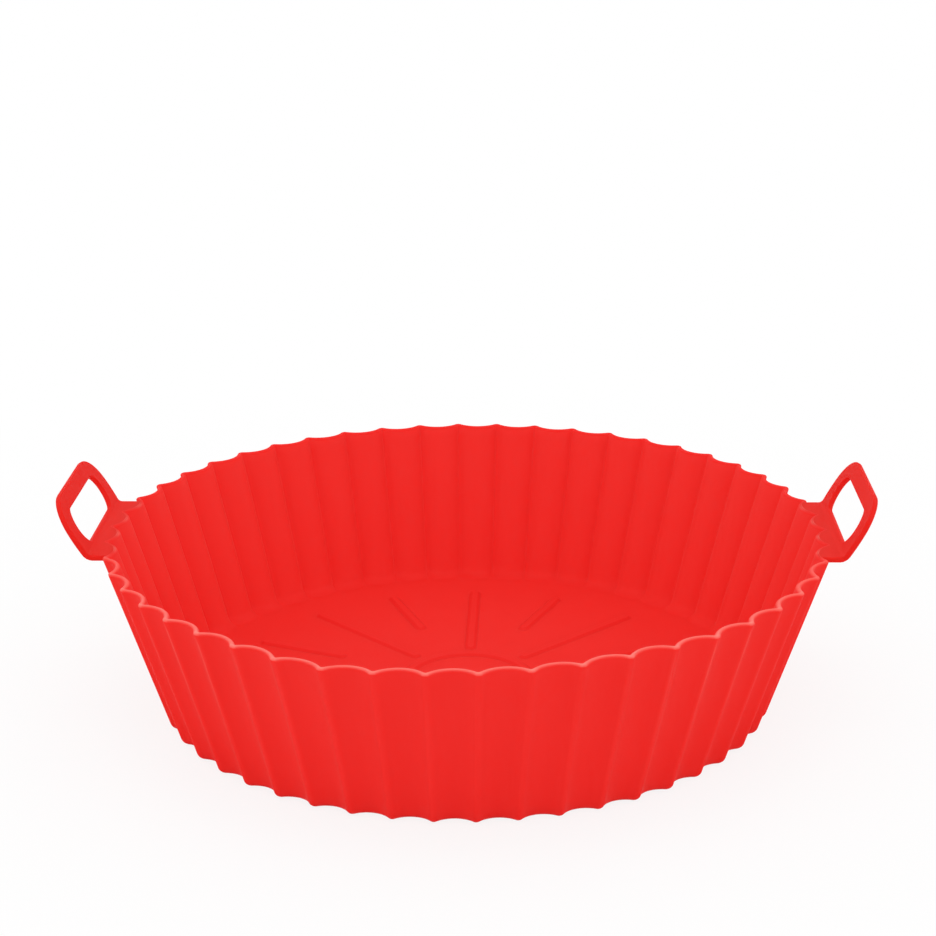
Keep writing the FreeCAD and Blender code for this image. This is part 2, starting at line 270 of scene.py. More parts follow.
@dataclass(frozen=True)
class PaintedLight:
    """Painted light: painted highlights on the front lip and some ridges, and lifted shade inside.

    Azimuths are degrees from the front, -Y, the same to both sides.

    Attributes:
        valley_sharpness: how fast the lip's painted highlight fades off its top, in a valley.
        crest_sharpness: the same on a crest.
        valley_share: how strong the painted highlight is in a valley, as a share of a crest.
        crest_band: where a crest's share of painted highlight ends and a valley's starts, off the
            crest.
        front_fade: azimuths between which the painted highlight fades towards the back.
        ear_azimuth: where the ears stand.
        ear_reach: degrees off an ear between which the painted highlight comes back.
        bead: how strong the painted highlight beads are that stand in its place at an ear's ledge.
        bead_width: a bead's width along the outline.
        ridge: how strong the strongest painted highlight down a ridge is.
        ridge_azimuth: where that ridge is.
        ridge_spread: degrees to each side over which the ridges' painted highlights fade.
        ridge_width: a ridge's width along the outline.
        ridge_fade: shares of the height between which a ridge's painted highlight appears.
        inside_painted_light: how much painted light lifts the inside's shade.
        groove_painted_light: how much more painted light lifts the shade in a groove.
        groove_width: a groove's width along the outline.
    """

    valley_sharpness: float = 2.0
    crest_sharpness: float = 0.8
    valley_share: float = 0.76
    crest_band: tuple[float, float] = (0.2, 0.6)
    front_fade: tuple[float, float] = (40.0, 110.0)
    ear_azimuth: float = 90.0
    ear_reach: tuple[float, float] = (12.5, 15.5)
    # Painted highlight beads at the valley tips by the ears.
    bead: float = 0.4
    bead_width: float = 0.18
    # Painted highlights down the ridges beside the front.
    ridge: float = 0.3
    ridge_azimuth: float = 43.0
    ridge_spread: float = 10.0
    ridge_width: float = 0.07
    ridge_fade: tuple[float, float] = (0.2, 0.95)
    # Painted light lifting the shade inside the bowl, most in its grooves.
    inside_painted_light: float = 0.07
    groove_painted_light: float = 0.05
    groove_width: float = 0.15

    def on_lip(self, crown: float, off_crest: float, azimuth: float) -> float:
        """Gives the share of painted highlight on the lip, with painted highlight beads by the ears.

        Args:
            crown: how high the point lies on the lip's round.
            off_crest: how far it is from its crest, 0 there and 1 in mid valley.
            azimuth: its azimuth, without the sign.

        Returns:
            A share from 0 to 1.
        """
        on_crest = 1 - smooth_step(*self.crest_band, off_crest)
        sharpness = self.valley_sharpness * (1 - on_crest) + self.crest_sharpness * on_crest
        front = 1 - smooth_step(*self.front_fade, azimuth)
        front *= self.valley_share * (1 - on_crest) + on_crest
        off_ear = smooth_step(*self.ear_reach, abs(azimuth - self.ear_azimuth))
        bead = self.bead * bell(off_crest, 1.0, self.bead_width)
        return crown**sharpness * (front * off_ear + bead * (1 - off_ear))

    def on_ridge(self, height_share: float, off_crest: float, azimuth: float) -> float:
        """Gives the share of painted highlight down the ridges on the wall's outer face.

        Args:
            height_share: its height, as a share of the wall's.
            off_crest: how far it is from its crest.
            azimuth: its azimuth, without the sign.

        Returns:
            A share from 0 to 1.
        """
        beside = bell(azimuth, self.ridge_azimuth, self.ridge_spread)
        return (self.ridge * beside * bell(off_crest, 0.0, self.ridge_width)
                * smooth_step(*self.ridge_fade, height_share))

    def inside(self, off_crest: float) -> float:
        """Gives the share of painted light lifting the shade on the wall's inner face, most in a
        groove.
        """
        return self.inside_painted_light + self.groove_painted_light * bell(off_crest, 0.0, self.groove_width)


@dataclass
class Bowl:
    """The pleated wall, its rounded lip and the flat floor, as one closed skin."""

    pleats: Pleats = field(default_factory=Pleats)
    slump: Slump = field(default_factory=Slump)
    painted_light: PaintedLight = field(default_factory=PaintedLight)
    floor_thickness: float = 1.5 * MM
    corner_radius: float = 2.4 * MM
    foot_radius: float = 1.8 * MM
    floor_shares: tuple[float, ...] = (0.0, 0.12, 0.5, 0.97)
    wall_rows: int = 16
    round_rows: int = 6

    def rings(self) -> list[Ring]:
        """Lists the skin's levels from the middle of the floor, over the lip, to the underside.

        Returns:
            The levels, each with as many points as the outline.
        """
        pleats, rows = self.pleats, self.round_rows
        floor, wall, top = self.floor_thickness, pleats.wall, pleats.height
        lip = wall / 2
        levels = [Ring(floor, wall + self.corner_radius, share) for share in self.floor_shares]
        for row in range(rows + 1):
            turn = math.pi / 2 * row / rows
            levels.append(Ring(floor + self.corner_radius * (1 - math.cos(turn)),
                               wall + self.corner_radius * (1 - math.sin(turn))))
        inner_foot, lip_foot = floor + self.corner_radius, top - lip
        for row in range(1, self.wall_rows):
            levels.append(Ring(inner_foot + (lip_foot - inner_foot) * row / self.wall_rows, wall))
        for row in range(2 * rows + 1):
            turn = math.pi * row / (2 * rows)
            levels.append(Ring(lip_foot + lip * math.sin(turn), lip + lip * math.cos(turn),
                               crown=math.sin(turn)))
        foot = self.foot_radius
        for row in range(1, self.wall_rows):
            levels.append(Ring(lip_foot + (foot - lip_foot) * row / self.wall_rows, 0.0))
        for row in range(rows + 1):
            turn = math.pi / 2 * row / rows
            levels.append(Ring(foot - foot * math.sin(turn), foot - foot * math.cos(turn)))
        levels += [Ring(0.0, foot, share) for share in reversed(self.floor_shares)]
        return levels

    def ring_points(self, ring: Ring) -> list[Vector]:
        """Gives the points of one level, settled as the wall and the foot are.

        Args:
            ring: the level.

        Returns:
            The points, in the outline's order.
        """
        points = self.pleats.outline(ring.height, ring.inset)
        if ring.reach < 1:
            points = [Vector((p.x * ring.reach, p.y * ring.reach, ring.height)) for p in points]
        return [self.slump.move(point, self.pleats.height) for point in points]

    def build(self, finish: bpy.types.Material) -> bpy.types.Object:
        """Extrudes one closed loop of edges from level to level and closes both ends.

        Args:
            finish: the material.

        Returns:
            The bowl's object.
        """
        form = bmesh.new()
        crown = form.verts.layers.float.new(PAINTED_LIGHT_MASK)
        rings = self.rings()
        loop = circle_loop(form, self.pleats.points_round)
        place(loop, self.ring_points(rings[0]))
        for ring in rings[1:]:
            loop = extrude_loop(form, loop)
            place(loop, self.ring_points(ring))
            # Each vertex keeps its share of painted highlight and painted light.
            for index, vertex in enumerate(loop):
                vertex[crown] = self.painted_light_at(ring, self.pleats.off_crest(index), vertex.co)
        bmesh.ops.remove_doubles(form, verts=form.verts, dist=SAME_PLACE)
        bmesh.ops.recalc_face_normals(form, faces=form.faces)
        return finished_object("liner_bowl", form, finish)

    def painted_light_at(self, ring: Ring, off_crest: float, spot: Vector) -> float:
        """Gives the share of painted highlight and painted light at a point of the skin.

        Args:
            ring: the level that the point is on.
            off_crest: how far the point is from its crest, 0 there and 1 in mid valley.
            spot: the point.

        Returns:
            A share from 0 to 1.
        """
        azimuth = abs(math.degrees(math.atan2(spot.x, -spot.y)))
        if ring.crown > 0:
            return self.painted_light.on_lip(ring.crown, off_crest, azimuth)
        if ring.inset > 0:
            floor = self.floor_thickness
            above = smooth_step(floor, floor + self.corner_radius, ring.height)
            return self.painted_light.inside(off_crest) * above
        return self.painted_light.on_ridge(ring.height / self.pleats.height, off_crest, azimuth)


def place(loop: list[bmesh.types.BMVert], points: list[Vector]) -> None:
    """Moves each vertex of a loop to its point."""
    for vertex, point in zip(loop, points):
        vertex.co = point


def circle_loop(form: bmesh.types.BMesh, count: int) -> list[bmesh.types.BMVert]:
    """Makes a closed loop of edges and gives its vertices in order, anticlockwise from +X."""
    circle = bmesh.ops.create_circle(form, cap_ends=False, radius=1.0, segments=count)
    return sorted(circle["verts"], key=lambda v: math.atan2(v.co.y, v.co.x) % (2 * math.pi))


def extrude_loop(form: bmesh.types.BMesh,
                 loop: list[bmesh.types.BMVert]) -> list[bmesh.types.BMVert]:
    """Extrudes a closed loop of edges.

    Args:
        form: the mesh.
        loop: the loop's vertices, in order.

    Returns:
        The new loop's vertices, in the same order.
    """
    count = len(loop)
    edges = [form.edges.get((loop[index], loop[(index + 1) % count])) for index in range(count)]
    grown = bmesh.ops.extrude_edge_only(form, edges=edges)["geom"]
    fresh = {part for part in grown if isinstance(part, bmesh.types.BMVert)}
    return [next(edge.other_vert(vertex) for edge in vertex.link_edges
                 if edge.other_vert(vertex) in fresh) for vertex in loop]


@dataclass
class FloorRelief:
    """The raised ring in the middle of the floor and the star of long and short ribs round it."""

    floor: float = 1.5 * MM
    height: float = 0.65 * MM
    half_width: float = 1.5 * MM
    ring_radius: float = 17.5 * MM
    rib_count: int = 8
    long_start: float = 21.0 * MM
    short_start: float = 39.0 * MM
    end: float = 67.0 * MM
    sunk: float = HAIR
    foot_spread: float = 1.2
    crown_spread: float = 0.25
    crown_start: float = 0.75
    section_rows: int = 10
    ring_steps: int = 160
    end_steps: int = 24

    def section(self) -> list[tuple[float, float]]:
        """Gives half of a rib's cross-section, from its foot up.

        Returns:
            Pairs of a share of the half width and a share of the height.
        """
        narrowing = self.foot_spread - self.crown_spread
        steps = [row / self.section_rows for row in range(self.section_rows + 1)]
        return [(self.foot_spread - narrowing * step, smooth_step(0.0, self.crown_start, step))
                for step in steps]

    def build(self, finish: bpy.types.Material) -> bpy.types.Object:
        """Makes the ring and all ribs.

        Args:
            finish: the material.

        Returns:
            The relief's object.
        """
        form = bmesh.new()
        self.add_ring(form)
        for index in range(self.rib_count):
            turn = 2 * math.pi * index / self.rib_count
            self.add_rib(form, turn, self.long_start)
            self.add_rib(form, turn + math.pi / self.rib_count, self.short_start)
        bmesh.ops.recalc_face_normals(form, faces=form.faces)
        return finished_object("liner_floor_relief", form, finish)

    def add_ring(self, form: bmesh.types.BMesh) -> None:
        """Extrudes circles round the ring's section, from its outer foot over it and back below.

        Args:
            form: the mesh.
        """
        half = self.section()
        over = half + [(-share, lift) for share, lift in reversed(half)]
        radii = [(self.ring_radius + share * self.half_width, lift) for share, lift in over]
        radii.append(radii[0])
        loop = circle_loop(form, self.ring_steps)
        for index, (radius, lift) in enumerate(radii):
            loop = extrude_loop(form, loop) if index else loop
            place(loop, [polar(radius, 2 * math.pi * step / self.ring_steps) + self.level(lift)
                         for step in range(self.ring_steps)])
        bmesh.ops.remove_doubles(form, verts=form.verts, dist=SAME_PLACE)

    def level(self, lift: float) -> Vector:
        """Gives the height of a share of the relief, its foot a hair below the floor's surface."""
        return UP * (self.floor - self.sunk + (self.height + self.sunk) * lift)

    def add_rib(self, form: bmesh.types.BMesh, turn: float, start: float) -> None:
        """Makes one round-ended rib.

        Args:
            form: the mesh.
            turn: the rib's direction, radians from +X.
            start: the rib's inner end, metres from the axis.
        """
        near, far = start + self.half_width, self.end - self.half_width
        loop = circle_loop(form, self.end_steps)
        spin = Matrix.Rotation(turn, 4, "Z")
        half = self.section()
        for index, (share, lift) in enumerate(half):
            loop = extrude_loop(form, loop) if index else loop
            for step, vertex in enumerate(loop):
                angle = 2 * math.pi * (step + 0.5) / self.end_steps
                edge = polar(share * self.half_width, angle)
                end = far if math.cos(angle) > 0 else near
                vertex.co = spin @ (edge + Vector((end, 0, 0)) + self.level(lift))
            if index in (0, len(half) - 1):
                bmesh.ops.contextual_create(form, geom=loop)


@dataclass
class Ear:
    """A bent plate with a finger hole: a ledge level with the rim, folded up and outwards."""

    side: Side
    pleats: Pleats = field(default_factory=Pleats)
    thickness: float = 1.5 * MM
    fold_radius: float = 100.9 * MM
    slope: float = math.radians(60.0)
    length: float = 16.8 * MM
    bend_radius: float = 1.6 * MM
    waist_width: float = 46.8 * MM
    waist_height: float = 5.2 * MM
    side_radius: float = 24.5 * MM
    shoulder_radius: float = 9.8 * MM
    edge_radius: float = 0.45 * MM
    hole_start: float = 1.4 * MM
    hole_height: float = 10.5 * MM
    hole_length: float = 28.4 * MM
    hole_bow: float = 3.0 * MM
    hole_corner: float = 0.8 * MM
    ledge: float = 8.0 * MM
    sink: float = 0.02 * MM
    seat_turn: float = 0.0
    slice_width: float = 0.8 * MM
    fold_rows: int = 10
    fold_spread: float = 1.2
    curve_steps: int = 12
    bow_steps: int = 10
    corner_steps: int = 5
    corner_spread: float = 1.2
    edge_steps: int = 4
    square_edge: float = math.radians(80)

    def half_outline(self) -> list[Vector]:
        """Gives the right half of the plate's outline, flat, from the ledge's end to the tip's middle.

        Returns:
            Points whose x is along the ear's width and whose y is up from the fold.
        """
        centre = Vector((self.waist_width / 2 - self.side_radius, self.waist_height))
        rise = self.length - self.shoulder_radius - self.waist_height
        span = self.side_radius - self.shoulder_radius
        shoulder = centre + Vector((math.sqrt(span**2 - rise**2), rise))
        root_turn = -math.asin(self.waist_height / self.side_radius)
        meet_turn = math.asin(rise / span)
        points = [centre + self.around(self.side_radius, root_turn)]
        points.insert(0, Vector((points[0].x, -self.ledge)))
        steps = self.curve_steps
        for step in range(1, steps + 1):
            turn = root_turn + (meet_turn - root_turn) * step / steps
            points.append(centre + self.around(self.side_radius, turn))
        for step in range(1, steps + 1):
            turn = meet_turn + (math.pi / 2 - meet_turn) * step / steps
            points.append(shoulder + self.around(self.shoulder_radius, turn))
        points.append(Vector((0, self.length)))
        return points

    @staticmethod
    def around(radius: float, turn: float) -> Vector:
        """Gives the flat offset at a radius and an angle."""
        return Vector((radius * math.cos(turn), radius * math.sin(turn)))

    def half_hole(self) -> list[Vector]:
        """Gives the right half of the finger hole's outline, from its lower to its upper middle.

        Returns:
            Points like those of the plate's outline.
        """
        half_height = self.hole_height / 2
        middle = self.hole_start + half_height
        radius = (half_height**2 + self.hole_bow**2) / (2 * self.hole_bow)
        centre = Vector((self.hole_length / 2 + self.hole_bow - radius, middle))
        reach = math.asin((half_height - self.hole_corner) / radius)
        points = [Vector((0, self.hole_start))]
        points += self.rounded_corner(centre, radius, reach, -1)
        for step in range(1, self.bow_steps):
            turn = reach * (2 * step / self.bow_steps - 1)
            points.append(centre + self.around(radius, turn))
        points += self.rounded_corner(centre, radius, reach, 1)
        points.append(Vector((0, self.hole_start + self.hole_height)))
        return points

    def rounded_corner(self, centre: Vector, radius: float, reach: float,
                       way: int) -> list[Vector]:
        """Gives the curve between the hole's bowed end and its straight edge.

        Args:
            centre: the bowed end's centre.
            radius: the bowed end's radius.
            reach: the angle at which the bowed end stops.
            way: 1 for the upper corner, -1 for the lower one.

        Returns:
            Points on a quadratic curve, ordered upwards.
        """
        level = self.hole_start + (self.hole_height if way > 0 else 0)
        on_bow = centre + self.around(radius, way * reach)
        corner = Vector((self.hole_length / 2, level))
        on_edge = corner - Vector((self.corner_spread * self.hole_corner, 0))
        curve = []
        for step in range(self.corner_steps + 1):
            share = step / self.corner_steps
            curve.append(on_bow * (1 - share) ** 2 + corner * 2 * share * (1 - share)
                         + on_edge * share**2)
        return curve if way > 0 else list(reversed(curve))

    def build(self, finish: bpy.types.Material) -> bpy.types.Object:
        """Makes the flat plate, gives it thickness and round edges, then folds it.

        Args:
            finish: the material.

        Returns:
            The ear's object.
        """
        form = bmesh.new()
        self.add_flat_plate(form)
        self.thicken(form)
        self.round_edges(form)
        self.divide_fold(form)
        self.fold(form)
        self.meet_wall(form)
        bmesh.ops.scale(form, vec=(self.side.value, 1, 1), verts=form.verts)
        bmesh.ops.rotate(form, cent=(0, 0, 0), verts=form.verts,
                         matrix=Matrix.Rotation(math.radians(self.seat_turn), 3, "Z"))
        bmesh.ops.recalc_face_normals(form, faces=form.faces)
        piece = finished_object("liner_ear_" + self.side.name.lower(), form, finish)
        shading = piece.modifiers.new("even_shading", "WEIGHTED_NORMAL")
        shading.keep_sharp = False
        return piece

    def add_flat_plate(self, form: bmesh.types.BMesh) -> None:
        """Bridges the hole's outline to the plate's outline.

        Args:
            form: the mesh.
        """
        loops = []
        for half in (self.half_outline(), self.half_hole()):
            whole = half + [Vector((-point.x, point.y)) for point in reversed(half)]
            loops.append(self.add_loop(form, whole))
        bmesh.ops.bridge_loops(form, edges=loops[0] + loops[1])
        bmesh.ops.remove_doubles(form, verts=form.verts, dist=SAME_PLACE)
        bmesh.ops.holes_fill(form, edges=[])

    @staticmethod
    def add_loop(form: bmesh.types.BMesh, points: list[Vector]) -> list[bmesh.types.BMEdge]:
        """Makes a closed loop of edges through flat points, leaving out points that coincide.

        Args:
            form: the mesh.
            points: the points, in order.

        Returns:
            The loop's edges.
        """
        kept = [point for index, point in enumerate(points)
                if (point - points[index - 1]).length > HAIR]
        vertices = [form.verts.new((0, point.x, point.y)) for point in kept]
        return [form.edges.new((vertices[index - 1], vertices[index]))
                for index in range(len(vertices))]

    def thicken(self, form: bmesh.types.BMesh) -> None:
        """Extrudes the flat plate by its thickness.

        Args:
            form: the mesh.
        """
        grown = bmesh.ops.extrude_face_region(form, geom=form.faces[:])["geom"]
        fresh = [part for part in grown if isinstance(part, bmesh.types.BMVert)]
        bmesh.ops.translate(form, verts=fresh, vec=(self.thickness, 0, 0))
        bmesh.ops.recalc_face_normals(form, faces=form.faces)

    def round_edges(self, form: bmesh.types.BMesh) -> None:
        """Rounds the plate's edges, outside and round the hole.

        Args:
            form: the mesh.
        """
        sharp = [edge for edge in form.edges
                 if edge.is_manifold and edge.calc_face_angle() > self.square_edge
                 and abs(edge.verts[0].co.x - edge.verts[1].co.x) < HAIR]
        bmesh.ops.bevel(form, geom=sharp, offset=self.edge_radius, offset_type="OFFSET",
                        affect="EDGES", segments=self.edge_steps, profile=0.5, material=-1,
                        clamp_overlap=True)

    def divide_fold(self, form: bmesh.types.BMesh) -> None:
        """Cuts the plate across at the fold, and lengthwise all over.

        Args:
            form: the mesh.
        """
        reach = self.bend_radius * self.fold_spread
        cuts = [reach * (2 * row / self.fold_rows - 1) for row in range(self.fold_rows + 1)]
        slices = int(self.waist_width / self.slice_width)
        places = [((0, 0, cut), (0, 0, 1)) for cut in cuts]
        places += [((0, self.slice_width * (index - slices / 2), 0), (0, 1, 0))
                   for index in range(slices + 1)]
        for spot, normal in places:
            geometry = form.verts[:] + form.edges[:] + form.faces[:]
            bmesh.ops.bisect_plane(form, geom=geometry, dist=0.1 * SAME_PLACE,
                                   plane_co=spot, plane_no=normal)

    def fold(self, form: bmesh.types.BMesh) -> None:
        """Bends the flat plate about the fold line and stands it at the rim.

        Args:
            form: the mesh.
        """
        reach = self.bend_radius * self.slope / 2
        for vertex in form.verts:
            depth, along = vertex.co.x, vertex.co.z
            turned = self.slope * smooth_share(along, reach)
            path = self.path_point(along, reach)
            normal = Vector((math.sin(turned), 0, -math.cos(turned)))
            spot = path + normal * depth
            vertex.co = Vector((spot.x + self.fold_radius, vertex.co.y,
                                spot.z + self.pleats.height - self.sink))

    def path_point(self, along: float, reach: float) -> Vector:
        """Gives the plate's inner face in the XZ plane, seen from the fold.

        Args:
            along: distance from the fold, along the plate, positive up the slope.
            reach: half the length of the bend.

        Returns:
            The point, with the sharp fold at the origin.
        """
        cosine, sine = math.cos(self.slope), math.sin(self.slope)
        if along <= -reach:
            return Vector((along, 0, 0)) + Vector((self.bend_gain(reach), 0, 0))
        if along >= reach:
            return Vector((cosine, 0, sine)) * (along - self.bend_gain(reach))
        turned = self.slope * smooth_share(along, reach)
        start = Vector((-reach + self.bend_gain(reach), 0, 0))
        return start + Vector((math.sin(turned), 0, 1 - math.cos(turned))) * self.bend_radius

    def bend_gain(self, reach: float) -> float:
        """Gives how far the bend's arc end lies nearer to the sharp fold than its length says."""
        return reach - self.bend_radius * math.tan(self.slope / 2)

    def meet_wall(self, form: bmesh.types.BMesh) -> None:
        """Ends the ledge inside the pleated wall, along its middle, while the ear still lies on +X.

        Args:
            form: the mesh.
        """
        top = self.pleats.height - self.thickness / 2
        turn = Matrix.Rotation(-self.side.value * math.radians(self.seat_turn), 3, "Z")
        middle = [turn @ point for point in self.pleats.outline(top, self.pleats.wall / 2)]
        chain = [point for point in middle if point.x > 0 and abs(point.y) < self.waist_width]
        chain.sort(key=lambda point: point.y)
        for vertex in form.verts:
            if vertex.co.x < self.pleats.rim_radius:
                vertex.co.x = max(vertex.co.x, reach_at(chain, vertex.co.y))
        bmesh.ops.remove_doubles(form, verts=form.verts, dist=2 * SAME_PLACE)
        bmesh.ops.dissolve_degenerate(form, edges=form.edges, dist=HAIR)


def smooth_share(along: float, reach: float) -> float:
    """Gives how much of a bend lies behind a point, from 0 before it to 1 after it."""
    return min(1.0, max(0.0, (along + reach) / (2 * reach)))


def reach_at(chain: list[Vector], across: float) -> float:
    """Reads how far towards +X a chain of points lies, at a place along Y.

    Args:
        chain: the points, in order of rising y.
        across: the place's y, between the chain's ends.

    Returns:
        The chain's x there.
    """
    ahead = next(index for index, point in enumerate(chain) if point.y > across)
    first, second = chain[ahead - 1], chain[ahead]
    share = (across - first.y) / (second.y - first.y)
    return first.x * (1 - share) + second.x * share


@dataclass(frozen=True)
class SiliconeFinish:
    """Satin red silicone rubber, coloured through, with its mould's fine grain and a painted
    highlight.
    """

    name: str = "red_silicone"
    red: tuple[float, float, float, float] = (0.88, 0.0272, 0.0222, 1.0)
    deep_red: tuple[float, float, float, float] = (0.86, 0.0252, 0.0202, 1.0)
    # Colour of the painted highlight, also mixed in as painted light inside the bowl.
    painted_highlight_red: tuple[float, float, float, float] = (1.0, 0.215, 0.182, 1.0)
    gloss_low: float = 0.6
    gloss_high: float = 0.74
    specular: float = 0.08
    glow_share: float = 0.5
    glow_depth: float = 1.2 * MM
    glow_reach: tuple[float, float, float] = (1.0, 0.25, 0.2)
    grain_size: float = 0.45 * MM
    cloud_size: float = 22.0 * MM
    grain_height: float = 0.012 * MM

    def material(self) -> bpy.types.Material:
        """Builds the material.

        Returns:
            The node-based material.
        """
        material = bpy.data.materials.new(self.name)
        material.use_nodes = True
        nodes, links = material.node_tree.nodes, material.node_tree.links
        shader = nodes["Principled BSDF"]
        shader.inputs["Specular IOR Level"].default_value = self.specular
        shader.inputs["Subsurface Weight"].default_value = self.glow_share
        shader.inputs["Subsurface Scale"].default_value = self.glow_depth
        shader.inputs["Subsurface Radius"].default_value = self.glow_reach
        place_in = nodes.new("ShaderNodeTexCoord")
        skin = nodes.new("ShaderNodeGroup")
        skin.node_tree = moulded_skin_group()
        skin.inputs["Grain Scale"].default_value = 1 / self.grain_size
        skin.inputs["Cloud Scale"].default_value = 1 / self.cloud_size
        links.new(place_in.outputs["Object"], skin.inputs["Place"])

        tint = nodes.new("ShaderNodeMix")
        tint.data_type = "RGBA"
        tint.inputs["A"].default_value = self.red
        tint.inputs["B"].default_value = self.deep_red
        links.new(skin.outputs["Cloud"], tint.inputs["Factor"])
        # Mixes the painted highlight colour in by the vertex attribute of painted highlight and
        # painted light.
        crown = nodes.new("ShaderNodeAttribute")
        crown.attribute_name = PAINTED_LIGHT_MASK
        edge = nodes.new("ShaderNodeMix")
        edge.data_type = "RGBA"
        edge.inputs["B"].default_value = self.painted_highlight_red
        links.new(crown.outputs["Fac"], edge.inputs["Factor"])
        links.new(tint.outputs["Result"], edge.inputs["A"])
        links.new(edge.outputs["Result"], shader.inputs["Base Color"])

        gloss = nodes.new("ShaderNodeMapRange")
        gloss.inputs["To Min"].default_value = self.gloss_low
        gloss.inputs["To Max"].default_value = self.gloss_high
        links.new(skin.outputs["Gloss"], gloss.inputs["Value"])
        links.new(gloss.outputs["Result"], shader.inputs["Roughness"])

        bump = nodes.new("ShaderNodeBump")
        bump.inputs["Distance"].default_value = self.grain_height
        links.new(skin.outputs["Grain"], bump.inputs["Height"])
        links.new(bump.outputs["Normal"], shader.inputs["Normal"])
        return material


@dataclass(frozen=True)
class ShadedEarFinish(SiliconeFinish):
    """The same silicone, a touch deeper red as painted shade, so the ears render darker."""

    name: str = "shaded_ear_silicone"
    # Deeper red as painted shade: the ears render darker than the bowl.
    red: tuple[float, float, float, float] = (0.79, 0.0178, 0.0118, 1.0)
    deep_red: tuple[float, float, float, float] = (0.77, 0.0168, 0.0108, 1.0)


@dataclass(frozen=True)
class ReliefFinish(SiliconeFinish):
    """The same silicone on the low ring and ribs, too thin to glow by themselves."""

    name: str = "relief_silicone"
    glow_share: float = 0.0


def moulded_skin_group(cloud_detail: float = 3.0, grain_detail: float = 2.0,
                       grain_roughness: float = 0.6,
                       gloss_gain: float = 2.0) -> bpy.types.NodeTree:
    """Builds the shader group of a moulded rubber skin.

    Args:
        cloud_detail: octaves of the soft clouds.
        grain_detail: octaves of the fine grain.
        grain_roughness: how strong the grain's finer octaves are.
        gloss_gain: what the product of clouds and grain is multiplied by.

    Returns:
        A group that gives soft clouds, patchy gloss and the mould's fine grain.
    """
    group = bpy.data.node_groups.new("moulded_skin", "ShaderNodeTree")
    for name, kind in (("Place", "NodeSocketVector"), ("Grain Scale", "NodeSocketFloat"),
                       ("Cloud Scale", "NodeSocketFloat")):
        group.interface.new_socket(name=name, in_out="INPUT", socket_type=kind)
    for name in ("Cloud", "Gloss", "Grain"):
        group.interface.new_socket(name=name, in_out="OUTPUT", socket_type="NodeSocketFloat")
    nodes, links = group.nodes, group.links
    entry, leave = nodes.new("NodeGroupInput"), nodes.new("NodeGroupOutput")

    clouds = nodes.new("ShaderNodeTexNoise")
    clouds.inputs["Detail"].default_value = cloud_detail
    links.new(entry.outputs["Place"], clouds.inputs["Vector"])
    links.new(entry.outputs["Cloud Scale"], clouds.inputs["Scale"])
    links.new(clouds.outputs["Fac"], leave.inputs["Cloud"])

    grain = nodes.new("ShaderNodeTexNoise")
    grain.inputs["Detail"].default_value = grain_detail
    grain.inputs["Roughness"].default_value = grain_roughness
    links.new(entry.outputs["Place"], grain.inputs["Vector"])
    links.new(entry.outputs["Grain Scale"], grain.inputs["Scale"])
    links.new(grain.outputs["Fac"], leave.inputs["Grain"])

    patches = nodes.new("ShaderNodeMath")
    patches.operation = "MULTIPLY"
    links.new(clouds.outputs["Fac"], patches.inputs[0])
    links.new(grain.outputs["Fac"], patches.inputs[1])
    lift = nodes.new("ShaderNodeMath")
    lift.operation = "MULTIPLY"
    lift.inputs[1].default_value = gloss_gain
    links.new(patches.outputs["Value"], lift.inputs[0])
    links.new(lift.outputs["Value"], leave.inputs["Gloss"])
    return group


